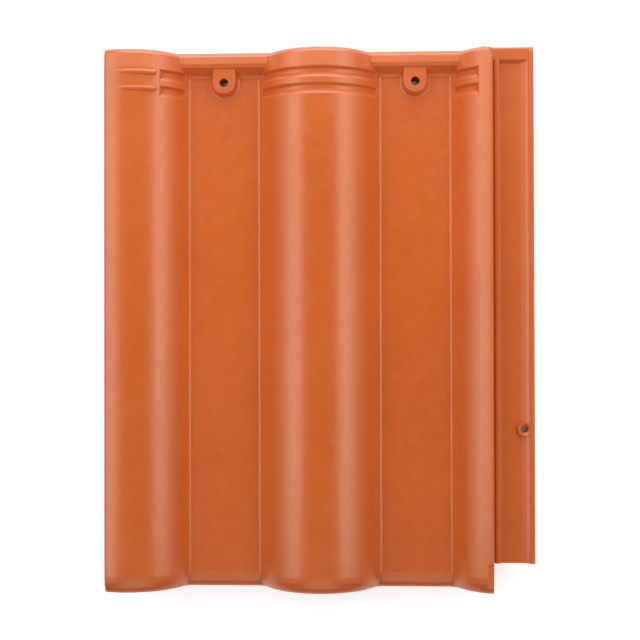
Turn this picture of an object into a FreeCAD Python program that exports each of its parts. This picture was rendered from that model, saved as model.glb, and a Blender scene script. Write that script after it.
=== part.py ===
import FreeCAD, Part
import math
import os
from FreeCAD import Vector

# Interlocking roof pantile with two rolls, two flat pans and a side lock, cast in one piece.
# +X runs across the roof towards the underlock, +Y up the slope towards the head, +Z out of
# the roof. The origin is under the middle of the tile, on the plane that the hanging lugs and
# the nose lip rest on. All sizes are in millimetres and all angles in degrees.

# Overall sizes
TILE_LENGTH = 424.0
COVER_WIDTH = 303.0
PAN_THICKNESS = 12.0

# Rolls, seen in section
ROLL_RADIUS = 52.0
ROLL_RISE = 30.0
ROLL_FOOT_FILLET = 4.0
ROLL_CREST_WALL = 12.0
HOLLOW_RADIUS = 47.0
HOLLOW_EDGE_ROUND = 3.0
EDGE_TO_CREST = 15.75
LEFT_EDGE_ROUND = 2.5
JOINT_EDGE_ROUND = 1.5

# Side lock: the underlock on the right, seen in section, and the overlock under the left roll
JOINT_GAP = 1.2
JOINT_GROOVE_WIDTH = 1.6
JOINT_GROOVE_DEPTH = 1.6
INNER_RIB_WIDTH = 5.2
RIB_HEIGHT = 3.0
RIB_FLANK = 1.0
RIB_ROUND = 1.0
CHANNEL_WIDTH = 15.8
CHANNEL_FLOOR_RISE = 12.5
OUTER_RAMP_WIDTH = 3.6
OUTER_RAMP_RISE = 1.5
OUTER_SHOULDER_WIDTH = 2.3
OUTER_RIB_WIDTH = 4.2
OUTER_RIB_STEP = 1.0
OUTER_STEP_FLANK = 0.8
UNDERLOCK_FLOOR_WALL = 9.0
UNDERLOCK_EDGE_ROUND = 2.0
UNDERLOCK_SETBACK = 22.2
LOCK_CLEARANCE = 1.5
LOCK_STEP_WALL = 4.0
LOCK_HOLLOW_WALL = 10.0

# Head: rolls and bars that slope and round off, water bars across the pans, bar across the underlock
HEAD_SLOPE_LENGTH = 15.0
HEAD_SLOPE_DROP = 0.8
HEAD_ROUND_LENGTH = 4.2
HEAD_ROUND_STEPS = 4
HEAD_ROUND_START_ANGLE = 25.0
HEAD_ROUND_END_ANGLE = 80.0
ROLL_HEAD_DROP = 4.8
LOCK_HEAD_DROP = 2.3
HEAD_BAR_HEIGHT = 9.5
HEAD_BAR_LENGTH = 11.4
HEAD_BAR_FACE = 7.0
HEAD_BAR_FRONT_ROUND = 4.0
HEAD_BAR_FOOT_ROUND = 5.8
HEAD_BAR_BITE = 1.0
UNDERLOCK_BAR_LENGTH = 10.0
UNDERLOCK_BAR_FACE = 2.6
UNDERLOCK_BAR_BACK_ROUND = 2.0
UNDERLOCK_BAR_ROUND = 0.8
HEAD_CORNER_ALONG = 8.0
HEAD_CORNER_ACROSS = 4.7

# Nail bosses in the pans
NAIL_HOLE_RADIUS = 3.5
NAIL_FROM_HEAD = 24.0
BOSS_HEIGHT = 7.0
BOSS_TOP_RADIUS = 7.8
BOSS_EDGE_REACH = 0.8
BOSS_EDGE_DROP = 0.5
BOSS_BASE_RADIUS = 11.0
BOSS_FOOT_REACH = 1.1
BOSS_FOOT_RISE = 0.6

# Grooves across the middle roll near the head, and pockets of the same section in the flanks beside it
GROOVE_COUNT = 2
GROOVE_FROM_HEAD = 16.0
GROOVE_PITCH = 12.8
GROOVE_OPENING = 8.4
GROOVE_UPPER_WALL = 1.8
GROOVE_LOWER_WALL = 3.6
GROOVE_DEPTH = 2.6
GROOVE_LAND_DROP = 0.3
GROOVE_ROUND = 0.6
GROOVE_END_RISE = 3.0
POCKET_FROM_CREST = 27.2
POCKET_WALL_LEAN = 28.0

# Ridges across the left roll beside its pockets
RIDGE_FROM_HEAD = 18.8
RIDGE_RADIUS = 2.3
RIDGE_HEIGHT = 2.0
RIDGE_START_ANGLE = -14.0
RIDGE_END_ANGLE = 23.5

# Tie hole through the shoulder of the underlock
TIE_HOLE_RADIUS = 2.5
TIE_HOLE_FROM_HEAD = 297.8
TIE_HOLE_FROM_EDGE = 7.7
TIE_COLLAR_RADIUS = 6.1
TIE_COLLAR_TAPER = 0.8
TIE_COLLAR_HEIGHT = 3.7
TIE_SINK_RADIUS = 4.4
TIE_SINK_DEPTH = 1.8

# Nose: rounded top, lip beneath, flat edge beside the underlock's foot
NOSE_LENGTH = 12.0
NOSE_DROP = 4.5
NOSE_ROUND_STEPS = 4
NOSE_ROUND_END_ANGLE = 75.0
NOSE_EDGE_WIDTH = 5.2
NOSE_EDGE_FALL = 0.4
NOSE_EDGE_RAMP = 2.5

# Underside: hanging lugs at the head and weather bars near the nose
LUG_DEPTH = 10.0
LUG_WIDTH = 44.0
LUG_LENGTH = 14.0
LUG_FROM_HEAD = 2.0
LUG_DRAFT = 3.0
WEATHER_BAR_FROM_NOSE = 34.0
WEATHER_BAR_WIDTH = 8.0
WEATHER_BAR_DEPTH = 5.0
WEATHER_BAR_LENGTH = 54.0
WEATHER_BAR_DRAFT = 2.0

# How far cutting and joining tools reach past the faces that they work on
OVERCUT = 2.0

# Places across the tile
LOCK_WIDTH = JOINT_GROOVE_WIDTH + INNER_RIB_WIDTH + CHANNEL_WIDTH + OUTER_RAMP_WIDTH
LOCK_WIDTH += OUTER_SHOULDER_WIDTH + OUTER_RIB_WIDTH
TILE_WIDTH = COVER_WIDTH - JOINT_GAP + LOCK_WIDTH
LEFT_X = -TILE_WIDTH / 2
RIGHT_X = TILE_WIDTH / 2
ROLL_PITCH = COVER_WIDTH / 2
ROLL_X = [LEFT_X + EDGE_TO_CREST + index * ROLL_PITCH for index in range(3)]
PAN_X = [(ROLL_X[index] + ROLL_X[index + 1]) / 2 for index in range(2)]
JOINT_X = LEFT_X + COVER_WIDTH - JOINT_GAP
INNER_RIB_X = JOINT_X + JOINT_GROOVE_WIDTH
CHANNEL_START_X = INNER_RIB_X + INNER_RIB_WIDTH
CHANNEL_END_X = CHANNEL_START_X + CHANNEL_WIDTH
RAMP_TOP_X = CHANNEL_END_X + OUTER_RAMP_WIDTH
SHOULDER_X = RAMP_TOP_X + OUTER_SHOULDER_WIDTH
TIE_X = RIGHT_X - TIE_HOLE_FROM_EDGE

# Places along the tile
HEAD_Y = TILE_LENGTH / 2
NOSE_Y = -TILE_LENGTH / 2
NOSE_START_Y = NOSE_Y + NOSE_LENGTH
BOSS_Y = HEAD_Y - NAIL_FROM_HEAD
TIE_Y = HEAD_Y - TIE_HOLE_FROM_HEAD

# Heights
PAN_UNDER_Z = LUG_DEPTH
PAN_Z = PAN_UNDER_Z + PAN_THICKNESS
GROOVE_END_Z = PAN_Z + GROOVE_END_RISE
CREST_Z = PAN_Z + ROLL_RISE
ROLL_AXIS_Z = CREST_Z - ROLL_RADIUS
HOLLOW_AXIS_Z = CREST_Z - ROLL_CREST_WALL - HOLLOW_RADIUS
CHANNEL_Z = PAN_Z + CHANNEL_FLOOR_RISE
RIB_Z = CHANNEL_Z + RIB_HEIGHT
OUTER_RIB_Z = RIB_Z + OUTER_RIB_STEP
UNDERLOCK_UNDER_Z = CHANNEL_Z - UNDERLOCK_FLOOR_WALL


def at_angle(centre_x, centre_z, radius, angle):
    """Point of a section at an angle, in radians, turned from +Z towards +X."""
    return Vector(centre_x + radius * math.sin(angle), 0, centre_z + radius * math.cos(angle))


def arc_edge(centre_x, centre_z, radius, start, end):
    """Arc of a section between two angles, in radians."""
    middle = (start + end) / 2
    points = [at_angle(centre_x, centre_z, radius, angle) for angle in (start, middle, end)]
    return Part.Arc(*points).toShape()


def joined(edges):
    """Closed wire through edges given in order, with straight lines in the gaps between them."""
    chain = []
    for edge, following in zip(edges, edges[1:] + edges[:1]):
        chain.append(edge)
        end = edge.lastVertex(True).Point
        start = following.firstVertex(True).Point
        if end.distanceToPoint(start) > 1e-6:
            chain.append(Part.makeLine(end, start))
    return Part.Wire(chain)


def rounded_run(corners, first, last):
    """Straight edges from first to last through corners, each a point and its rounding radius."""
    edges = []
    start = first
    points = [first] + [point for point, radius in corners] + [last]
    for index, (point, radius) in enumerate(corners):
        if radius == 0:
            edges.append(Part.makeLine(start, point))
            start = point
            continue
        back = (points[index] - point).normalize()
        ahead = (points[index + 2] - point).normalize()
        reach = radius / math.tan(back.getAngle(ahead) / 2)
        arc_start = point + back * reach
        arc_end = point + ahead * reach
        bisector = (back + ahead).normalize()
        centre = point + bisector * math.hypot(radius, reach)
        edges.append(Part.makeLine(start, arc_start))
        edges.append(Part.Arc(arc_start, centre - bisector * radius, arc_end).toShape())
        start = arc_end
    edges.append(Part.makeLine(start, last))
    return edges


def roll_height(across, radius=ROLL_RADIUS):
    """Height of a roll's surface at a distance across from its axis."""
    return ROLL_AXIS_Z + math.sqrt(radius ** 2 - across ** 2)


def roll_foot(radius, axis_z, flat_z, fillet):
    """Distance from a roll's axis to its foot fillet's centre, and the angle where they meet."""
    rise = flat_z + fillet - axis_z
    spread = math.sqrt((radius + fillet) ** 2 - rise ** 2)
    return spread, math.atan2(spread, rise)


def edge_round(edge_x, side, radius, axis_x, rounding):
    """Centre of the rounding between a roll and an upright face, and the angle where they meet."""
    centre_x = edge_x - side * rounding
    centre_z = roll_height(centre_x - axis_x, radius - rounding)
    return centre_x, centre_z, math.atan2(centre_x - axis_x, centre_z - ROLL_AXIS_Z)


def wave_edges(radius, axis_z, flat_z, fillet, start_angle, end_angle):
    """Arcs from the left roll to the half roll on the right, with their foot fillets."""
    spread, meet = roll_foot(radius, axis_z, flat_z, fillet)
    fillet_z = flat_z + fillet
    edges = []
    for index, axis_x in enumerate(ROLL_X):
        if index > 0:
            edges.append(arc_edge(axis_x - spread, fillet_z, fillet, math.pi, math.pi - meet))
        start = start_angle if index == 0 else -meet
        end = end_angle if index == len(ROLL_X) - 1 else meet
        edges.append(arc_edge(axis_x, axis_z, radius, start, end))
        if index < len(ROLL_X) - 1:
            edges.append(arc_edge(axis_x + spread, fillet_z, fillet, math.pi + meet, math.pi))
    return edges


def weather_edges(inset):
    """Top of the tile from its left edge to the joint edge, set in by an amount."""
    radius = ROLL_RADIUS - inset
    left = edge_round(LEFT_X, -1, radius, ROLL_X[0], LEFT_EDGE_ROUND)
    right = edge_round(JOINT_X, 1, radius, ROLL_X[2], JOINT_EDGE_ROUND)
    edges = [arc_edge(left[0], left[1], LEFT_EDGE_ROUND, -math.pi / 2, left[2])]
    edges += wave_edges(radius, ROLL_AXIS_Z, PAN_Z - inset, ROLL_FOOT_FILLET + inset, left[2], right[2])
    edges.append(arc_edge(right[0], right[1], JOINT_EDGE_ROUND, right[2], math.pi / 2))
    return edges


def backwards(edges):
    """The same edges run through from their far end."""
    turned = []
    for edge in reversed(edges):
        copy = edge.copy()
        copy.reverse()
        turned.append(copy)
    return turned


def underlock_edges(inset, joint_top):
    """Joint wall, groove, inner rib, channel, outer ramp, shoulder, outer rib and outer face."""
    floor = CHANNEL_Z - inset
    rib = RIB_Z - inset
    outer_rib = OUTER_RIB_Z - inset
    corners = [
        (JOINT_X, rib - JOINT_GROOVE_DEPTH, RIB_ROUND / 2),
        (INNER_RIB_X, rib - JOINT_GROOVE_DEPTH, RIB_ROUND / 2),
        (INNER_RIB_X + RIB_FLANK, rib, RIB_ROUND),
        (CHANNEL_START_X - RIB_FLANK, rib, RIB_ROUND),
        (CHANNEL_START_X, floor, RIB_ROUND / 2),
        (CHANNEL_END_X, floor, RIB_ROUND),
        (RAMP_TOP_X, floor + OUTER_RAMP_RISE, RIB_ROUND / 2),
        (SHOULDER_X, rib, RIB_ROUND / 2),
        (SHOULDER_X + OUTER_STEP_FLANK, outer_rib, RIB_ROUND),
        (RIGHT_X, outer_rib, RIB_ROUND),
        (RIGHT_X, UNDERLOCK_UNDER_Z, UNDERLOCK_EDGE_ROUND),
    ]
    last = Vector(JOINT_X - LOCK_STEP_WALL, 0, UNDERLOCK_UNDER_Z)
    return rounded_run([(Vector(x, 0, z), radius) for x, z, radius in corners], joint_top, last)


def overlock_edges(first):
    """Underside of the left roll's edge: a rib that drops into the next tile's channel, and a lip."""
    rib_right = CHANNEL_END_X - COVER_WIDTH - LOCK_CLEARANCE
    rib_left = CHANNEL_START_X - COVER_WIDTH + LOCK_CLEARANCE
    corners = [
        (rib_right, CHANNEL_Z + LOCK_CLEARANCE, RIB_ROUND),
        (rib_left, CHANNEL_Z + LOCK_CLEARANCE, RIB_ROUND),
        (rib_left, RIB_Z + LOCK_CLEARANCE, RIB_ROUND),
    ]
    last = Vector(LEFT_X, 0, RIB_Z + LOCK_CLEARANCE)
    return rounded_run([(Vector(x, 0, z), radius) for x, z, radius in corners], first, last)


def body_section(inset, lock_inset):
    """Closed section of the tile between its nose and its head, its top and its underlock set in."""
    top = weather_edges(inset)
    lock = underlock_edges(lock_inset, top[-1].lastVertex(True).Point)
    hollow_end_x = JOINT_X - LOCK_HOLLOW_WALL
    hollow_end = math.asin((hollow_end_x - ROLL_X[2]) / HOLLOW_RADIUS)
    overlock_x = CHANNEL_END_X - COVER_WIDTH - LOCK_CLEARANCE
    hollow_start = math.asin((overlock_x - ROLL_X[0]) / HOLLOW_RADIUS)
    under = wave_edges(HOLLOW_RADIUS, HOLLOW_AXIS_Z, PAN_UNDER_Z, HOLLOW_EDGE_ROUND, hollow_start, hollow_end)
    under = backwards(under)
    overlock = overlock_edges(under[-1].lastVertex(True).Point)
    return joined(top + lock + under + overlock)


def nose_section(inset):
    """Closed section of the nose, whose lip fits the top of the tile in the course below."""
    lip_start = math.asin((LEFT_X - ROLL_X[0]) / ROLL_RADIUS)
    lip_end = math.asin((JOINT_X - ROLL_X[2]) / ROLL_RADIUS)
    lip = wave_edges(ROLL_RADIUS, ROLL_AXIS_Z - PAN_Z, 0, ROLL_FOOT_FILLET, lip_start, lip_end)
    return joined(weather_edges(inset) + backwards(lip))


def moved_along(wire, y):
    """The wire moved to a place along the tile."""
    copy = wire.copy()
    copy.translate(Vector(0, y, 0))
    return copy


def round_shares(start_angle, end_angle, steps):
    """Shares of the length and of the drop along an arc that turns from one slope to another."""
    start = math.radians(start_angle)
    end = math.radians(end_angle)
    shares = []
    for step in range(steps + 1):
        angle = start + (end - start) * step / steps
        along = (math.sin(angle) - math.sin(start)) / (math.sin(end) - math.sin(start))
        down = (math.cos(start) - math.cos(angle)) / (math.cos(start) - math.cos(end))
        shares.append((along, down))
    return shares


def nose_stations():
    """Places along the nose and how far its top is set in there."""
    shares = round_shares(0, NOSE_ROUND_END_ANGLE, NOSE_ROUND_STEPS)
    return [(NOSE_START_Y - NOSE_LENGTH * along, NOSE_DROP * down) for along, down in shares]


def head_stations():
    """Places along the rounded end of the head and the shares of its drop there."""
    shares = round_shares(HEAD_ROUND_START_ANGLE, HEAD_ROUND_END_ANGLE, HEAD_ROUND_STEPS)
    return [(HEAD_Y - HEAD_ROUND_LENGTH * (1 - along), down) for along, down in shares]


def rounded_head():
    """Head end of the body, whose top slopes a little and then rounds off."""
    sections = [moved_along(body_section(0, 0), HEAD_Y - HEAD_SLOPE_LENGTH)]
    for y, down in head_stations():
        inset = HEAD_SLOPE_DROP + ROLL_HEAD_DROP * down
        sections.append(moved_along(body_section(inset, LOCK_HEAD_DROP * down), y))
    return Part.makeLoft(sections, True, True)


def tile_body():
    """Body, rounded head and rounded nose, with the underlock cut back above the nose."""
    straight_end = HEAD_Y - HEAD_SLOPE_LENGTH
    start_face = Part.Face(moved_along(body_section(0, 0), NOSE_START_Y))
    straight = start_face.extrude(Vector(0, straight_end - NOSE_START_Y, 0))
    setback = Part.makeBox(
        RIGHT_X - JOINT_X + OVERCUT,
        UNDERLOCK_SETBACK + OVERCUT,
        CREST_Z + 2 * OVERCUT,
        Vector(JOINT_X, NOSE_Y - OVERCUT, -OVERCUT),
    )
    nose = Part.makeLoft([moved_along(nose_section(inset), y) for y, inset in nose_stations()], True, True)
    return straight.fuse([rounded_head()]).cut(setback).fuse([nose])


def bar_across(profile, start_x, end_x):
    """Bar with a profile of (y, z, rounding) corners, run along X."""
    points = [(Vector(start_x, y, z), radius) for y, z, radius in profile]
    first = points[0][0]
    last = points[-1][0]
    edges = rounded_run(points[1:-1], first, last)
    edges.append(Part.makeLine(last, first))
    return Part.Face(Part.Wire(edges)).extrude(Vector(end_x - start_x, 0, 0))


def head_bar(index):
    """Water bar that closes the head of one pan, let into the flanks of the rolls beside it."""
    top = PAN_Z + HEAD_BAR_HEIGHT
    head_drop = HEAD_SLOPE_DROP + ROLL_HEAD_DROP
    bottom = PAN_Z - head_drop - OVERCUT
    slope = HEAD_SLOPE_DROP / (HEAD_SLOPE_LENGTH - HEAD_ROUND_LENGTH)
    back_top = top - slope * (HEAD_BAR_LENGTH - HEAD_ROUND_LENGTH)
    foot_y = HEAD_Y - HEAD_BAR_LENGTH - HEAD_BAR_FACE
    front_y = foot_y - HEAD_BAR_FOOT_ROUND
    profile = [(HEAD_Y, bottom, 0)]
    profile += [(y, back_top - ROLL_HEAD_DROP * down, 0) for y, down in reversed(head_stations())]
    profile += [
        (HEAD_Y - HEAD_BAR_LENGTH, top, HEAD_BAR_FRONT_ROUND),
        (foot_y, PAN_Z, HEAD_BAR_FOOT_ROUND),
        (front_y, PAN_Z, 0),
        (front_y, bottom, 0),
    ]
    bar = bar_across(profile, ROLL_X[index], ROLL_X[index + 1])
    clear_radius = ROLL_RADIUS - head_drop - HEAD_BAR_BITE
    clear_length = HEAD_Y - front_y + 2 * OVERCUT
    rolls = []
    for axis_x in ROLL_X[index:index + 2]:
        start = Vector(axis_x, front_y - OVERCUT, ROLL_AXIS_Z)
        rolls.append(Part.makeCylinder(clear_radius, clear_length, start, Vector(0, 1, 0)))
    return bar.cut(rolls)


def underlock_bar():
    """Bar that closes the head of the underlock's channel, level with its inner rib."""
    bottom = CHANNEL_Z - LOCK_HEAD_DROP - OVERCUT
    foot_y = HEAD_Y - UNDERLOCK_BAR_LENGTH - UNDERLOCK_BAR_FACE
    front_y = foot_y - OVERCUT
    profile = [
        (HEAD_Y, bottom, 0),
        (HEAD_Y, RIB_Z, UNDERLOCK_BAR_BACK_ROUND),
        (HEAD_Y - UNDERLOCK_BAR_LENGTH, RIB_Z, UNDERLOCK_BAR_ROUND),
        (foot_y, CHANNEL_Z, UNDERLOCK_BAR_ROUND),
        (front_y, CHANNEL_Z, 0),
        (front_y, bottom, 0),
    ]
    return bar_across(profile, JOINT_X - OVERCUT, (SHOULDER_X + RIGHT_X) / 2)


def boss_outline(x, radius, z):
    """U-shaped outline of a nail boss at one height, open end under the head bar."""
    back_y = HEAD_Y - HEAD_BAR_LENGTH
    left_back = Vector(x - radius, back_y, z)
    left_front = Vector(x - radius, BOSS_Y, z)
    tip = Vector(x, BOSS_Y - radius, z)
    right_front = Vector(x + radius, BOSS_Y, z)
    right_back = Vector(x + radius, back_y, z)
    edges = [
        Part.makeLine(left_back, left_front),
        Part.Arc(left_front, tip, right_front).toShape(),
        Part.makeLine(right_front, right_back),
        Part.makeLine(right_back, left_back),
    ]
    return Part.Wire(edges)


def nail_boss(x):
    """Raised pad round one nail hole, with a flared foot and an eased edge, joined to the head bar."""
    foot_radius = BOSS_BASE_RADIUS + BOSS_FOOT_REACH
    top_z = PAN_Z + BOSS_HEIGHT
    outlines = [
        boss_outline(x, foot_radius, PAN_Z - OVERCUT),
        boss_outline(x, foot_radius, PAN_Z),
        boss_outline(x, BOSS_BASE_RADIUS, PAN_Z + BOSS_FOOT_RISE),
        boss_outline(x, BOSS_TOP_RADIUS + BOSS_EDGE_REACH, top_z - BOSS_EDGE_DROP),
        boss_outline(x, BOSS_TOP_RADIUS, top_z),
    ]
    return Part.makeLoft(outlines, True, True)


def nail_hole(x):
    """Round hole straight through a boss and its pan."""
    start = Vector(x, BOSS_Y, PAN_UNDER_Z - OVERCUT)
    return Part.makeCylinder(NAIL_HOLE_RADIUS, PAN_THICKNESS + BOSS_HEIGHT + 2 * OVERCUT, start)


def round_roll(face, axis_x, axis_z, start_angle, end_angle):
    """Face that stands over a roll's axis, turned about that axis between two angles."""
    axis_point = Vector(axis_x, 0, axis_z)
    along = Vector(0, 1, 0)
    turned = face.copy()
    turned.rotate(axis_point, along, start_angle)
    return turned.revolve(axis_point, along, end_angle - start_angle)


def groove_ring(axis_x):
    """Half ring over a roll with the section of its grooves: sloping walls, flat floors and a land."""
    surface = ROLL_AXIS_Z + ROLL_RADIUS
    floor = surface - GROOVE_DEPTH
    land = surface - GROOVE_LAND_DROP
    first_y = HEAD_Y - GROOVE_FROM_HEAD
    last_y = first_y - (GROOVE_COUNT - 1) * GROOVE_PITCH - GROOVE_OPENING
    corners = []
    for index in range(GROOVE_COUNT):
        upper_y = first_y - index * GROOVE_PITCH
        lower_y = upper_y - GROOVE_OPENING
        if index > 0:
            corners.append((upper_y, land))
        corners.append((upper_y - GROOVE_UPPER_WALL, floor))
        corners.append((lower_y + GROOVE_LOWER_WALL, floor))
        if index < GROOVE_COUNT - 1:
            corners.append((lower_y, land))
    above = OVERCUT / GROOVE_DEPTH
    first = Vector(axis_x, first_y + above * GROOVE_UPPER_WALL, surface + OVERCUT)
    last = Vector(axis_x, last_y - above * GROOVE_LOWER_WALL, surface + OVERCUT)
    outline = rounded_run([(Vector(axis_x, y, z), GROOVE_ROUND) for y, z in corners], first, last)
    outline.append(Part.makeLine(last, first))
    return round_roll(Part.Face(Part.Wire(outline)), axis_x, ROLL_AXIS_Z, -90, 90)


def grooves(axis_x):
    """Cutter for the grooves over a whole roll, which end in level ledges above the pans."""
    reach = ROLL_RADIUS + 2 * OVERCUT
    corner = Vector(axis_x - reach, NOSE_Y, GROOVE_END_Z)
    above_ledges = Part.makeBox(2 * reach, TILE_LENGTH, CREST_Z + 2 * OVERCUT - GROOVE_END_Z, corner)
    return groove_ring(axis_x).common(above_ledges)


def pockets(axis_x, side):
    """Cutter for the pockets in one flank of a roll, each with a leaning end wall towards the crest."""
    wall_z = roll_height(POCKET_FROM_CREST)
    top_z = CREST_Z + 2 * OVERCUT
    lean = math.tan(math.radians(POCKET_WALL_LEAN))
    across = [
        (POCKET_FROM_CREST - lean * (top_z - wall_z), top_z),
        (ROLL_RADIUS + 2 * OVERCUT, top_z),
        (ROLL_RADIUS + 2 * OVERCUT, GROOVE_END_Z),
        (POCKET_FROM_CREST + lean * (wall_z - GROOVE_END_Z), GROOVE_END_Z),
    ]
    points = [Vector(axis_x + side * x, NOSE_Y, z) for x, z in across]
    beyond_wall = Part.Face(Part.makePolygon(points + points[:1])).extrude(Vector(0, TILE_LENGTH, 0))
    return groove_ring(axis_x).common(beyond_wall)


def ridge(y):
    """Low rounded ridge on the left roll that rises out of its surface towards the pan."""
    start = math.radians(RIDGE_START_ANGLE)
    end = math.radians(RIDGE_END_ANGLE)
    lean = math.tan(-start)
    shift_x = RIDGE_HEIGHT / (math.sin(end) + lean * math.cos(end))
    axis_x = ROLL_X[0] + shift_x
    axis_z = ROLL_AXIS_Z + lean * shift_x
    centre = Vector(axis_x, y, axis_z + ROLL_RADIUS - RIDGE_RADIUS)
    circle = Part.Wire(Part.makeCircle(RIDGE_RADIUS, centre, Vector(1, 0, 0)))
    bar = round_roll(Part.Face(circle), axis_x, axis_z, RIDGE_START_ANGLE, RIDGE_END_ANGLE)
    end_centre = at_angle(axis_x, axis_z, ROLL_RADIUS - RIDGE_RADIUS, end)
    tip = Part.makeSphere(RIDGE_RADIUS, Vector(end_centre.x, y, end_centre.z))
    return bar.fuse([tip])


def tie_collar():
    """Raised collar round the tie hole."""
    base_z = CHANNEL_Z - OVERCUT
    height = TIE_COLLAR_HEIGHT + OVERCUT
    top_radius = TIE_COLLAR_RADIUS - TIE_COLLAR_TAPER
    return Part.makeCone(TIE_COLLAR_RADIUS, top_radius, height, Vector(TIE_X, TIE_Y, base_z))


def tie_hole():
    """Hole through the underlock with a sunk mouth in its collar."""
    top_z = CHANNEL_Z + TIE_COLLAR_HEIGHT
    start = Vector(TIE_X, TIE_Y, UNDERLOCK_UNDER_Z - OVERCUT)
    shank = Part.makeCylinder(TIE_HOLE_RADIUS, top_z - UNDERLOCK_UNDER_Z + OVERCUT, start)
    sink_start = Vector(TIE_X, TIE_Y, top_z - TIE_SINK_DEPTH)
    sink = Part.makeCone(TIE_HOLE_RADIUS, TIE_SINK_RADIUS, TIE_SINK_DEPTH, sink_start)
    mouth = Part.makeCylinder(TIE_SINK_RADIUS, OVERCUT, Vector(TIE_X, TIE_Y, top_z))
    return shank.fuse([sink, mouth])


def head_corner():
    """Cutter that takes the half roll's head corner down to the underlock's bar."""
    across = [
        (JOINT_X - HEAD_CORNER_ACROSS, HEAD_Y),
        (JOINT_X, HEAD_Y - HEAD_CORNER_ALONG),
        (JOINT_X + OVERCUT, HEAD_Y - HEAD_CORNER_ALONG),
        (JOINT_X + OVERCUT, HEAD_Y + OVERCUT),
        (JOINT_X - HEAD_CORNER_ACROSS, HEAD_Y + OVERCUT),
    ]
    points = [Vector(x, y, RIB_Z) for x, y in across]
    outline = Part.makePolygon(points + points[:1])
    return Part.Face(outline).extrude(Vector(0, 0, CREST_Z - RIB_Z + OVERCUT))


def nose_edge():
    """Cutter for the flat edge of the half roll between the underlock's foot and the nose."""
    inner_x = JOINT_X - NOSE_EDGE_WIDTH
    inner_z = roll_height(ROLL_X[2] - inner_x)
    ramp_foot_y = NOSE_Y + UNDERLOCK_SETBACK
    stations = [(ramp_foot_y + NOSE_EDGE_RAMP, -NOSE_EDGE_RAMP), (ramp_foot_y, 0)]
    stations += nose_stations()
    stations.append((NOSE_Y - OVERCUT, NOSE_DROP))
    outlines = []
    for y, inset in stations:
        across = [
            (inner_x, inner_z - inset),
            (JOINT_X + OVERCUT, inner_z - inset - NOSE_EDGE_FALL),
            (JOINT_X + OVERCUT, CREST_Z + OVERCUT),
            (inner_x, CREST_Z + OVERCUT),
        ]
        points = [Vector(x, y, z) for x, z in across]
        outlines.append(Part.makePolygon(points + points[:1]))
    return Part.makeLoft(outlines, True, True)


def tapered_block(x, y, width, length, top_z, bottom_z, draft):
    """Block under the tile that narrows downwards by its draft on every side."""
    def rectangle(inset, z):
        half_width = width / 2 - inset
        half_length = length / 2 - inset
        corner_signs = [(-1, -1), (1, -1), (1, 1), (-1, 1), (-1, -1)]
        return Part.makePolygon([Vector(x + i * half_width, y + j * half_length, z) for i, j in corner_signs])
    return Part.makeLoft([rectangle(0, top_z), rectangle(draft, bottom_z)], True, True)


def hanging_lug(x):
    """Lug at the head of a pan that hooks over the roof batten."""
    y = HEAD_Y - LUG_FROM_HEAD - LUG_LENGTH / 2
    return tapered_block(x, y, LUG_WIDTH, LUG_LENGTH, PAN_UNDER_Z, 0, LUG_DRAFT)


def weather_bar(x):
    """Short bar across the underside of a pan, behind the nose lip."""
    y = NOSE_Y + WEATHER_BAR_FROM_NOSE
    top_z = PAN_UNDER_Z
    bottom_z = top_z - WEATHER_BAR_DEPTH
    return tapered_block(x, y, WEATHER_BAR_LENGTH, WEATHER_BAR_WIDTH, top_z, bottom_z, WEATHER_BAR_DRAFT)


def pantile():
    """The whole tile."""
    raised = [head_bar(index) for index in range(len(PAN_X))]
    raised += [nail_boss(x) for x in PAN_X]
    raised += [ridge(HEAD_Y - RIDGE_FROM_HEAD - index * GROOVE_PITCH) for index in range(GROOVE_COUNT)]
    raised += [hanging_lug(x) for x in PAN_X]
    raised += [weather_bar(x) for x in PAN_X]
    raised += [underlock_bar(), tie_collar()]
    cut_away = [nail_hole(x) for x in PAN_X]
    cut_away += [grooves(ROLL_X[1]), pockets(ROLL_X[0], 1), pockets(ROLL_X[2], -1)]
    cut_away += [tie_hole(), head_corner(), nose_edge()]
    return tile_body().fuse(raised).cut(cut_away).removeSplitter()


os.makedirs("parts", exist_ok=True)
tile = pantile()
tile.exportStep("parts/pantile.step")
print("solids", len(tile.Solids), "valid", tile.isValid(), "volume", round(tile.Volume), "box", tile.BoundBox)
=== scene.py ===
import collections
import math

import bmesh
import bpy
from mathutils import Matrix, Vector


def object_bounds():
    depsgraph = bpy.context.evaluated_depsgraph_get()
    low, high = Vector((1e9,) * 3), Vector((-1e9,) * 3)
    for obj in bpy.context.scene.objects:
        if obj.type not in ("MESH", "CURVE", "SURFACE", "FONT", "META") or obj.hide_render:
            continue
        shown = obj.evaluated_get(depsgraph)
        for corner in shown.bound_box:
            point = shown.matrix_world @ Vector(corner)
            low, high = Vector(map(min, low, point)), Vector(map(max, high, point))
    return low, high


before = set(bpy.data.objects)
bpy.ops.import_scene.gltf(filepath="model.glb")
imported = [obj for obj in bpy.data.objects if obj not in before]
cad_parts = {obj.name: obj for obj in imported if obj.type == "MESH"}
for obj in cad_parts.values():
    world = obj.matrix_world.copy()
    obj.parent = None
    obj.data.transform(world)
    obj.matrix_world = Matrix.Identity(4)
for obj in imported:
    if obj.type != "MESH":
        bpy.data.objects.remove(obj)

bl_info = {
    "name": "Roof pantile dresser",
    "version": (1, 0, 0),
    "blender": (4, 5, 0),
    "location": "3D View > Sidebar > Pantile",
    "description": "Gives a cast roof pantile its colour coat and stands it in a plain studio",
    "category": "Object",
}

MM = 0.001
TILE = "pantile"
CAD_LOW, CAD_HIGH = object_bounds()

# Sockets of the Mix node when it mixes colours
MIX_FIRST = 6
MIX_SECOND = 7
MIX_RESULT = 2

# Where the underlock stops short of the nose, at the tile's right corner
NOTCH_WIDTH = 32.7 * MM
NOTCH_LENGTH = 22.2 * MM

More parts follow.
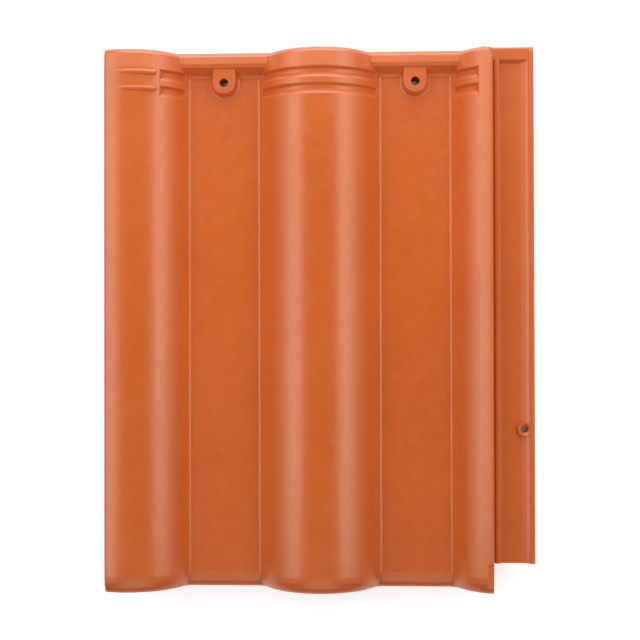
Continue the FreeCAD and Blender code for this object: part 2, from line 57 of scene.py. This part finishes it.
# The floor's whiteness fades in over this width inside the tile's outline
FLOOR_FADE = 25 * MM

# The painted shade on the floor under the underlock: where it ends at the outline, and where it starts
# across the tile
SHADE_INSIDE = -3 * MM
SHADE_OUTSIDE = 6 * MM
SHADE_START = (100 * MM, 130 * MM)

# How far the floor lies below the tile, so that their faces don't fight
FLOOR_GAP = 0.2 * MM

# Cast sand: scale of the pinholes as a share of the grains' scale, and a pinhole's soft rim
PINHOLE_SCALE = 0.22
PINHOLE_RIM = (0.07, 0.13)

# Coat: which range of each noise shows as clouds, mottles, thin edges and sheen, and how strongly
CLOUD_RANGE = (0.35, 0.70)
MOTTLE_RANGE = (0.40, 0.75)
MOTTLE_STRENGTH = 0.22
EDGE_RANGE = (0.60, 0.92)
EDGE_STRENGTH = 0.55
EDGE_SAMPLES = 8
SHEEN_RANGE = (0.3, 0.7)
ROUGHNESS_SPREAD = 0.025
COAT_SPECULAR = 0.85
COAT_SPECULAR_TINT = (1, 1, 0.86)

# Bare concrete: streaks along the tile, sand clouds, coarser grains and dark pores
STREAK_WIDTH = 5 * MM
STREAK_STRETCH = (1, 0.06, 1)
STREAK_RANGE = (0.35, 0.75)
STREAK_STRENGTH = 0.55
SAND_SIZE = 1.6 * MM
SAND_RANGE = (0.35, 0.70)
SAND_STRENGTH = 0.4
BARE_GRAIN = 1.4
PORE_SHARE = 0.45
PORE_SHADE = 0.5

# Where the coat ends: how far a face looks down, or up the tile from the nose lip, and the ragged edge
BARE_FACING = (-0.35, -0.10)
INWARD_FACING = (0.3, 0.7)
RAGGED_SIZE = 3 * MM
RAGGED_RANGE = (0.2, 0.8)
RAGGED_REACH = 0.25

# Width of the camera's sensor in millimetres
SENSOR_WIDTH = 36

# How far up the tile the inner faces of the nose lip stay bare, as the ends of a soft edge
NOSE_SHELTER = (CAD_LOW[1] + 50 * MM, CAD_LOW[1] + 60 * MM)

# Upright panels beside the tile, in strips: lowest and highest edge in metres, and share of the brightness
SIDE_STRIPS = ((0.05, 0.19, 0.12), (0.19, 0.33, 0.5), (0.33, 0.70, 1.0))
SIDE_DISTANCE = 0.43
SIDE_CENTRE = 0.15
SIDE_LENGTH = 1.0

# The other soft lamps: places and sizes in metres, lean from facing straight down and turn in degrees
Lamp = collections.namedtuple("Lamp", "name brightness share place lean turn width length")
LAMPS = (
    Lamp("head_softbox", "head_brightness", 1, (0, 0.675, 0.556), 46, 90, 0.66, 0.80),
    Lamp("back_panel", "back_brightness", 1, (0, 0.80, 0.20), 90, 90, 0.34, 0.70),
    Lamp("nose_softbox", "nose_brightness", 1, (0, -0.743, 0.707), 50, 270, 0.72, 0.80),
)


class CoatSettings(bpy.types.PropertyGroup):
    """Colours and fine relief of the coat and of the bare concrete under it."""

    coat_colour: bpy.props.FloatVectorProperty(
        name="Coat colour", description="Colour of the satin coat on the weather side",
        subtype="COLOR", size=3, min=0, max=1, default=(0.622, 0.117, 0.0155))
    deep_coat: bpy.props.FloatVectorProperty(
        name="Deep coat colour", description="Colour of the slow darker clouds in the coat",
        subtype="COLOR", size=3, min=0, max=1, default=(0.588, 0.106, 0.013))
    thin_coat: bpy.props.FloatVectorProperty(
        name="Thin coat colour", description="Colour where the coat runs thin over a crisp edge",
        subtype="COLOR", size=3, min=0, max=1, default=(0.635, 0.16, 0.045))
    bare_concrete: bpy.props.FloatVectorProperty(
        name="Bare concrete", description="Colour of the uncoated underside",
        subtype="COLOR", size=3, min=0, max=1, default=(0.36, 0.31, 0.26))
    dark_concrete: bpy.props.FloatVectorProperty(
        name="Dark concrete", description="Colour of the streaks and pores of the underside",
        subtype="COLOR", size=3, min=0, max=1, default=(0.23, 0.195, 0.16))
    coat_roughness: bpy.props.FloatProperty(
        name="Coat roughness", description="Roughness of the satin coat",
        subtype="FACTOR", min=0, max=1, default=0.31)
    bare_roughness: bpy.props.FloatProperty(
        name="Concrete roughness", description="Roughness of the uncoated underside",
        subtype="FACTOR", min=0, max=1, default=0.88)
    cloud_size: bpy.props.FloatProperty(
        name="Cloud size", description="Width of the slow clouds in the coat",
        subtype="DISTANCE", unit="LENGTH", min=0.005, max=0.5, default=70 * MM)
    mottle_size: bpy.props.FloatProperty(
        name="Mottle size", description="Width of the small spots where the spray fell unevenly",
        subtype="DISTANCE", unit="LENGTH", min=0.001, max=0.05, default=6 * MM)
    grain_size: bpy.props.FloatProperty(
        name="Grain size", description="Width of a sand grain that shows through the coat",
        subtype="DISTANCE", unit="LENGTH", min=0.0002, max=0.01, default=0.9 * MM)
    coat_relief: bpy.props.FloatProperty(
        name="Coat relief", description="Height of the sand grains under the coat",
        subtype="DISTANCE", unit="LENGTH", min=0, max=0.001, default=0.02 * MM)
    bare_relief: bpy.props.FloatProperty(
        name="Concrete relief", description="Height of the sand grains of the uncoated underside",
        subtype="DISTANCE", unit="LENGTH", min=0, max=0.001, default=0.16 * MM)
    edge_reach: bpy.props.FloatProperty(
        name="Edge reach", description="How far from a crisp edge the coat runs thin",
        subtype="DISTANCE", unit="LENGTH", min=0, max=0.01, default=1.2 * MM)


class StageSettings(bpy.types.PropertyGroup):
    """Floor, lamps and camera."""

    floor_size: bpy.props.FloatProperty(
        name="Floor size", description="Side of the square floor",
        subtype="DISTANCE", unit="LENGTH", min=1, default=60.0)
    floor_colour: bpy.props.FloatVectorProperty(
        name="Floor colour", description="Colour of the pale floor",
        subtype="COLOR", size=3, min=0, max=1, default=(0.82, 0.82, 0.82))
    # Painted shade: a darker floor colour under the underlock, where only shade falls
    painted_floor_shade: bpy.props.FloatVectorProperty(
        name="Floor shade", description="Colour of the floor under the underlock",
        subtype="COLOR", size=3, min=0, max=1, default=(0.20, 0.19, 0.18))
    floor_white: bpy.props.FloatProperty(
        name="Floor white", description="White that the camera and reflections add to the floor",
        subtype="FACTOR", min=0, max=1, default=0.55)
    side_brightness: bpy.props.FloatProperty(
        name="Side panels", description="Brightness of the side panels' upper strips, where 1 is white",
        min=0, default=2.5)
    head_brightness: bpy.props.FloatProperty(
        name="Head lamp", description="Brightness of the lamp above the tile's head", min=0, default=1.85)
    back_brightness: bpy.props.FloatProperty(
        name="Back lamp", description="Brightness of the low lamp behind the head", min=0, default=3.4)
    nose_brightness: bpy.props.FloatProperty(
        name="Nose lamp", description="Brightness of the weak lamp before the nose", min=0, default=0.95)
    studio_brightness: bpy.props.FloatProperty(
        name="Studio", description="Brightness of the studio's dim walls and ceiling", min=0, default=0.06)
    lens: bpy.props.FloatProperty(
        name="Lens", description="Focal length on a 36 mm sensor",
        subtype="DISTANCE_CAMERA", unit="CAMERA", min=10, default=67.87)
    camera_place: bpy.props.FloatVectorProperty(
        name="Camera place", description="Where the camera stands",
        subtype="TRANSLATION", unit="LENGTH", size=3, default=(0.0384, -0.0084, 0.9799))
    camera_turn: bpy.props.FloatVectorProperty(
        name="Camera turn", description="How the camera is turned from looking straight down",
        subtype="EULER", unit="ROTATION", size=3,
        default=(math.radians(0.482), math.radians(2.300), math.radians(-0.132)))


def put_node(tree, kind, place, **values):
    """Adds a node and sets its plain attributes."""
    node = tree.nodes.new(kind)
    node.location = place
    for name, value in values.items():
        setattr(node, name, value)
    return node


def feed(tree, socket, value):
    """Links an output to a socket, or sets the socket to a number or a colour."""
    if isinstance(value, bpy.types.NodeSocket):
        tree.links.new(value, socket)
    elif socket.type == "RGBA":
        socket.default_value = (*value, 1)
    else:
        socket.default_value = value


def work_out(tree, place, operation, first, second):
    """Result of a Math node."""
    node = put_node(tree, "ShaderNodeMath", place, operation=operation)
    feed(tree, node.inputs[0], first)
    feed(tree, node.inputs[1], second)
    return node.outputs["Value"]


def remap(tree, place, value, from_low, from_high, to_low=0, to_high=1):
    """Value carried smoothly from one range to another."""
    node = put_node(tree, "ShaderNodeMapRange", place, interpolation_type="SMOOTHSTEP")
    feed(tree, node.inputs["Value"], value)
    feed(tree, node.inputs["From Min"], from_low)
    feed(tree, node.inputs["From Max"], from_high)
    feed(tree, node.inputs["To Min"], to_low)
    feed(tree, node.inputs["To Max"], to_high)
    return node.outputs["Result"]


def mix_colours(tree, place, mask, first, second):
    """Colour between two colours, by a mask."""
    node = put_node(tree, "ShaderNodeMix", place, data_type="RGBA")
    feed(tree, node.inputs["Factor"], mask)
    feed(tree, node.inputs[MIX_FIRST], first)
    feed(tree, node.inputs[MIX_SECOND], second)
    return node.outputs[MIX_RESULT]


def noise(tree, place, position, size, detail):
    """Noise whose spots are about one size wide."""
    node = put_node(tree, "ShaderNodeTexNoise", place)
    feed(tree, node.inputs["Vector"], position)
    feed(tree, node.inputs["Scale"], 1 / size)
    feed(tree, node.inputs["Detail"], detail)
    return node.outputs["Fac"]


def sand_group():
    """Node group of cast sand: the height of its grains, and a mask of the pinholes between them."""
    group = bpy.data.node_groups.new("cast_sand", "ShaderNodeTree")
    group.interface.new_socket("Position", in_out="INPUT", socket_type="NodeSocketVector")
    group.interface.new_socket("Grain size", in_out="INPUT", socket_type="NodeSocketFloat")
    group.interface.new_socket("Pinhole share", in_out="INPUT", socket_type="NodeSocketFloat")
    group.interface.new_socket("Height", in_out="OUTPUT", socket_type="NodeSocketFloat")
    group.interface.new_socket("Pinholes", in_out="OUTPUT", socket_type="NodeSocketFloat")
    given = put_node(group, "NodeGroupInput", (-900, 0)).outputs
    grain_scale = work_out(group, (-700, 200), "DIVIDE", 1, given["Grain size"])
    grains = put_node(group, "ShaderNodeTexNoise", (-500, 200))
    feed(group, grains.inputs["Vector"], given["Position"])
    feed(group, grains.inputs["Scale"], grain_scale)
    feed(group, grains.inputs["Detail"], 3)
    hole_scale = work_out(group, (-700, -200), "MULTIPLY", grain_scale, PINHOLE_SCALE)
    cells = put_node(group, "ShaderNodeTexVoronoi", (-500, -200))
    feed(group, cells.inputs["Vector"], given["Position"])
    feed(group, cells.inputs["Scale"], hole_scale)
    middle = remap(group, (-250, -150), cells.outputs["Distance"], *PINHOLE_RIM, 1, 0)
    draw = put_node(group, "ShaderNodeSeparateColor", (-250, -400))
    feed(group, draw.inputs["Color"], cells.outputs["Color"])
    kept = work_out(group, (-50, -400), "LESS_THAN", draw.outputs["Red"], given["Pinhole share"])
    holes = work_out(group, (150, -200), "MULTIPLY", middle, kept)
    height = work_out(group, (150, 200), "SUBTRACT", grains.outputs["Fac"], holes)
    result = put_node(group, "NodeGroupOutput", (400, 0)).inputs
    feed(group, result["Height"], height)
    feed(group, result["Pinholes"], holes)
    return group


def put_sand(tree, place, group, position, grain_size, pinhole_share):
    """Places the cast sand group with its own grain size and share of pinholes."""
    node = put_node(tree, "ShaderNodeGroup", place, node_tree=group)
    feed(tree, node.inputs["Position"], position)
    feed(tree, node.inputs["Grain size"], grain_size)
    feed(tree, node.inputs["Pinhole share"], pinhole_share)
    return node.outputs["Height"], node.outputs["Pinholes"]


def satin_coat(tree, coat, position):
    """Colour of the coat: slow clouds, small mottles and thin edges."""
    clouds = noise(tree, (-1100, 900), position, coat.cloud_size, 3)
    clouds = remap(tree, (-900, 900), clouds, *CLOUD_RANGE)
    colour = mix_colours(tree, (-600, 900), clouds, coat.coat_colour, coat.deep_coat)
    mottles = noise(tree, (-1100, 650), position, coat.mottle_size, 4)
    mottles = remap(tree, (-900, 650), mottles, *MOTTLE_RANGE, 0, MOTTLE_STRENGTH)
    colour = mix_colours(tree, (-400, 850), mottles, colour, coat.thin_coat)
    inner = put_node(tree, "ShaderNodeAmbientOcclusion", (-900, 400), inside=True, only_local=True)
    inner.samples = EDGE_SAMPLES
    feed(tree, inner.inputs["Distance"], coat.edge_reach)
    edges = remap(tree, (-650, 500), inner.outputs["AO"], *EDGE_RANGE, EDGE_STRENGTH, 0)
    return mix_colours(tree, (-200, 800), edges, colour, coat.thin_coat)


def raw_concrete(tree, coat, position, pinholes):
    """Colour of the uncoated underside: streaks along the tile, sand clouds and dark pores."""
    stretch = put_node(tree, "ShaderNodeMapping", (-1300, -250))
    feed(tree, stretch.inputs["Vector"], position)
    feed(tree, stretch.inputs["Scale"], STREAK_STRETCH)
    streaks = noise(tree, (-1100, -250), stretch.outputs["Vector"], STREAK_WIDTH, 3)
    streaks = remap(tree, (-900, -250), streaks, *STREAK_RANGE, 0, STREAK_STRENGTH)
    colour = mix_colours(tree, (-600, -250), streaks, coat.bare_concrete, coat.dark_concrete)
    sand = noise(tree, (-1100, -500), position, SAND_SIZE, 4)
    sand = remap(tree, (-900, -500), sand, *SAND_RANGE, 0, SAND_STRENGTH)
    colour = mix_colours(tree, (-400, -300), sand, colour, coat.dark_concrete)
    pore_colour = [PORE_SHADE * part for part in coat.dark_concrete]
    return mix_colours(tree, (-200, -350), pinholes, colour, pore_colour)


def bare_mask(tree, position, normal):
    """Mask of the faces that the spray never reached: the underside and the inside of the nose lip."""
    facing = put_node(tree, "ShaderNodeSeparateXYZ", (-1300, -700))
    feed(tree, facing.inputs["Vector"], normal)
    ragged = noise(tree, (-1300, -900), position, RAGGED_SIZE, 4)
    ragged = remap(tree, (-1100, -900), ragged, *RAGGED_RANGE, -RAGGED_REACH, RAGGED_REACH)
    upward = work_out(tree, (-900, -800), "ADD", facing.outputs["Z"], ragged)
    beneath = remap(tree, (-700, -800), upward, *BARE_FACING, 1, 0)
    inward = remap(tree, (-1100, -1100), facing.outputs["Y"], *INWARD_FACING)
    along = put_node(tree, "ShaderNodeSeparateXYZ", (-1300, -1300))
    feed(tree, along.inputs["Vector"], position)
    near_nose = remap(tree, (-1100, -1300), along.outputs["Y"], *NOSE_SHELTER, 1, 0)
    sheltered = work_out(tree, (-900, -1200), "MULTIPLY", inward, near_nose)
    return work_out(tree, (-500, -900), "MAXIMUM", beneath, sheltered)


def tile_material(coat):
    """Satin colour coat over cast concrete, left bare beneath where the spray never reached."""
    material = bpy.data.materials.new("coated_concrete")
    material.use_nodes = True
    tree = material.node_tree
    tree.nodes.clear()
    place = put_node(tree, "ShaderNodeTexCoord", (-1600, 0))
    position = place.outputs["Object"]
    sand = sand_group()
    coat_height, _ = put_sand(tree, (-1300, 250), sand, position, coat.grain_size, 0)
    bare_grain = BARE_GRAIN * coat.grain_size
    bare_height, bare_holes = put_sand(tree, (-1300, 0), sand, position, bare_grain, PORE_SHARE)
    bare = bare_mask(tree, position, place.outputs["Normal"])
    coated = satin_coat(tree, coat, position)
    uncoated = raw_concrete(tree, coat, position, bare_holes)
    colour = mix_colours(tree, (200, 400), bare, coated, uncoated)
    sheen = noise(tree, (-1100, 150), position, 2 * coat.mottle_size, 3)
    smoothest = coat.coat_roughness - ROUGHNESS_SPREAD
    roughest = coat.coat_roughness + ROUGHNESS_SPREAD
    sheen = remap(tree, (-300, 150), sheen, *SHEEN_RANGE, smoothest, roughest)
    roughness = remap(tree, (0, 150), bare, 0, 1, sheen, coat.bare_roughness)
    coat_height = work_out(tree, (-300, -50), "MULTIPLY", coat_height, coat.coat_relief)
    bare_height = work_out(tree, (-300, -200), "MULTIPLY", bare_height, coat.bare_relief)
    height = remap(tree, (0, -100), bare, 0, 1, coat_height, bare_height)
    bump = put_node(tree, "ShaderNodeBump", (200, -100))
    feed(tree, bump.inputs["Distance"], 1)
    feed(tree, bump.inputs["Height"], height)
    surface = put_node(tree, "ShaderNodeBsdfPrincipled", (450, 200))
    feed(tree, surface.inputs["Base Color"], colour)
    feed(tree, surface.inputs["Roughness"], roughness)
    feed(tree, surface.inputs["Specular IOR Level"], COAT_SPECULAR)
    feed(tree, surface.inputs["Specular Tint"], COAT_SPECULAR_TINT)
    feed(tree, surface.inputs["Normal"], bump.outputs["Normal"])
    output = put_node(tree, "ShaderNodeOutputMaterial", (750, 200))
    feed(tree, output.inputs["Surface"], surface.outputs["BSDF"])
    return material


def outline_distance(tree, across, along):
    """Distance from the tile's outline on the floor, less than zero under the tile."""
    side = work_out(tree, (-1100, 200), "ABSOLUTE", across, 0)
    side = work_out(tree, (-900, 200), "SUBTRACT", side, CAD_HIGH[0])
    end = work_out(tree, (-1100, 0), "ABSOLUTE", along, 0)
    end = work_out(tree, (-900, 0), "SUBTRACT", end, CAD_HIGH[1])
    box = work_out(tree, (-700, 100), "MAXIMUM", side, end)
    notch_x = work_out(tree, (-1100, -200), "SUBTRACT", across, CAD_HIGH[0] - NOTCH_WIDTH)
    notch_y = work_out(tree, (-1100, -400), "SUBTRACT", CAD_LOW[1] + NOTCH_LENGTH, along)
    notch = work_out(tree, (-900, -300), "MINIMUM", notch_x, notch_y)
    return work_out(tree, (-700, -100), "MAXIMUM", box, notch)


def floor_material(stage):
    """Pale matt floor, seen whiter round the tile by the camera and in reflections, with painted shade
    under the underlock.
    """
    material = bpy.data.materials.new("pale_floor")
    material.use_nodes = True
    tree = material.node_tree
    tree.nodes.clear()
    ray = put_node(tree, "ShaderNodeLightPath", (-1100, 500)).outputs
    seen = work_out(tree, (-900, 500), "MAXIMUM", ray["Is Camera Ray"], ray["Is Glossy Ray"])
    seen = work_out(tree, (-700, 500), "MAXIMUM", seen, ray["Is Transmission Ray"])
    place = put_node(tree, "ShaderNodeTexCoord", (-1500, 100))
    split = put_node(tree, "ShaderNodeSeparateXYZ", (-1300, 100))
    feed(tree, split.inputs["Vector"], place.outputs["Object"])
    outline = outline_distance(tree, split.outputs["X"], split.outputs["Y"])
    faded = remap(tree, (-500, 300), outline, -FLOOR_FADE, 0)
    # Mask of the painted shade under the underlock: there the floor gets no added white and a darker
    # colour
    outside = remap(tree, (-500, 100), outline, SHADE_INSIDE, SHADE_OUTSIDE)
    beside = remap(tree, (-500, -300), split.outputs["X"], *SHADE_START, 1, 0)
    clear = work_out(tree, (-300, -100), "MAXIMUM", outside, beside)
    lit = work_out(tree, (-400, 200), "MINIMUM", faded, clear)
    white = work_out(tree, (-300, 300), "MULTIPLY", seen, lit)
    white = work_out(tree, (-100, 300), "MULTIPLY", white, stage.floor_white)
    glow = put_node(tree, "ShaderNodeEmission", (100, 300))
    feed(tree, glow.inputs["Strength"], white)
    # Painted shade: the floor is darker under the underlock
    colour = mix_colours(tree, (-300, 0), clear, stage.painted_floor_shade, stage.floor_colour)
    matt = put_node(tree, "ShaderNodeBsdfDiffuse", (100, 100))
    feed(tree, matt.inputs["Color"], colour)
    both = put_node(tree, "ShaderNodeAddShader", (350, 200))
    feed(tree, both.inputs[0], matt.outputs["BSDF"])
    feed(tree, both.inputs[1], glow.outputs["Emission"])
    output = put_node(tree, "ShaderNodeOutputMaterial", (600, 200))
    feed(tree, output.inputs["Surface"], both.outputs["Shader"])
    return material


def lay_floor(scene, stage):
    """Square floor just under the tile."""
    shape = bmesh.new()
    bmesh.ops.create_grid(shape, x_segments=1, y_segments=1, size=stage.floor_size / 2)
    bmesh.ops.translate(shape, verts=shape.verts, vec=(0, 0, CAD_LOW[2] - FLOOR_GAP))
    mesh = bpy.data.meshes.new("floor")
    shape.to_mesh(mesh)
    shape.free()
    mesh.materials.append(floor_material(stage))
    floor = bpy.data.objects.new("floor", mesh)
    scene.collection.objects.link(floor)


def side_strips():
    """Lamps of the two upright side panels, in strips that brighten upwards."""
    strips = []
    for name, side, turn in (("left_strip", -1, 180), ("right_strip", 1, 0)):
        for low, high, share in SIDE_STRIPS:
            place = (side * SIDE_DISTANCE, SIDE_CENTRE, (low + high) / 2)
            strips.append(Lamp(name, "side_brightness", share, place, 90, turn, high - low, SIDE_LENGTH))
    return strips


def hang_lamp(scene, lamp, brightness):
    """Area lamp that faces the tile, with a brightness at which 1 is white."""
    light = bpy.data.lights.new(lamp.name, "AREA")
    light.shape = "RECTANGLE"
    light.size = lamp.width
    light.size_y = lamp.length
    light.energy = brightness * math.pi * lamp.width * lamp.length
    softbox = bpy.data.objects.new(lamp.name, light)
    softbox.location = lamp.place
    softbox.rotation_euler = (0, math.radians(lamp.lean), math.radians(lamp.turn))
    softbox.visible_camera = False
    scene.collection.objects.link(softbox)


def studio_world(stage):
    """Dim studio round the tile."""
    world = bpy.data.worlds.new("studio")
    world.use_nodes = True
    tree = world.node_tree
    tree.nodes.clear()
    glow = put_node(tree, "ShaderNodeBackground", (0, 0))
    feed(tree, glow.inputs["Color"], (1, 1, 1))
    feed(tree, glow.inputs["Strength"], stage.studio_brightness)
    output = put_node(tree, "ShaderNodeOutputWorld", (250, 0))
    feed(tree, output.inputs["Surface"], glow.outputs["Background"])
    return world


def stand_camera(scene, stage):
    """Camera that looks down on the tile."""
    lens = bpy.data.cameras.new("camera")
    lens.lens = stage.lens
    lens.sensor_width = SENSOR_WIDTH
    camera = bpy.data.objects.new("camera", lens)
    camera.location = stage.camera_place
    camera.rotation_euler = stage.camera_turn
    scene.collection.objects.link(camera)
    scene.camera = camera


class PANTILE_OT_finish_tile(bpy.types.Operator):
    """Coat the cast tile"""

    bl_idname = "pantile.finish_tile"
    bl_label = "Coat the tile"

    def execute(self, context):
        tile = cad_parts[TILE]
        tile.data.materials.clear()
        tile.data.materials.append(tile_material(context.scene.pantile_coat))
        return {"FINISHED"}


class PANTILE_OT_set_stage(bpy.types.Operator):
    """Set the floor, the lamps, the studio and the camera"""

    bl_idname = "pantile.set_stage"
    bl_label = "Set the stage"

    def execute(self, context):
        scene = context.scene
        stage = scene.pantile_stage
        lay_floor(scene, stage)
        for lamp in (*side_strips(), *LAMPS):
            hang_lamp(scene, lamp, lamp.share * getattr(stage, lamp.brightness))
        scene.world = studio_world(stage)
        stand_camera(scene, stage)
        scene.view_settings.view_transform = "Standard"
        return {"FINISHED"}


class PANTILE_PT_sidebar(bpy.types.Panel):
    """Settings and steps of the pantile"""

    bl_idname = "PANTILE_PT_sidebar"
    bl_label = "Pantile"
    bl_space_type = "VIEW_3D"
    bl_region_type = "UI"
    bl_category = "Pantile"

    def draw(self, context):
        for settings in (context.scene.pantile_coat, context.scene.pantile_stage):
            for name in settings.__annotations__:
                self.layout.prop(settings, name)
        self.layout.operator(PANTILE_OT_finish_tile.bl_idname)
        self.layout.operator(PANTILE_OT_set_stage.bl_idname)


CLASSES = (CoatSettings, StageSettings, PANTILE_OT_finish_tile, PANTILE_OT_set_stage, PANTILE_PT_sidebar)


def register():
    """Registers the classes and hangs their settings on the scene."""
    for entry in CLASSES:
        bpy.utils.register_class(entry)
    bpy.types.Scene.pantile_coat = bpy.props.PointerProperty(type=CoatSettings)
    bpy.types.Scene.pantile_stage = bpy.props.PointerProperty(type=StageSettings)


def unregister():
    """Takes the settings and the classes away again."""
    del bpy.types.Scene.pantile_stage
    del bpy.types.Scene.pantile_coat
    for entry in reversed(CLASSES):
        bpy.utils.unregister_class(entry)


def main():
    """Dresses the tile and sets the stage."""
    register()
    bpy.ops.pantile.finish_tile()
    bpy.ops.pantile.set_stage()


if __name__ == "__main__":
    main()
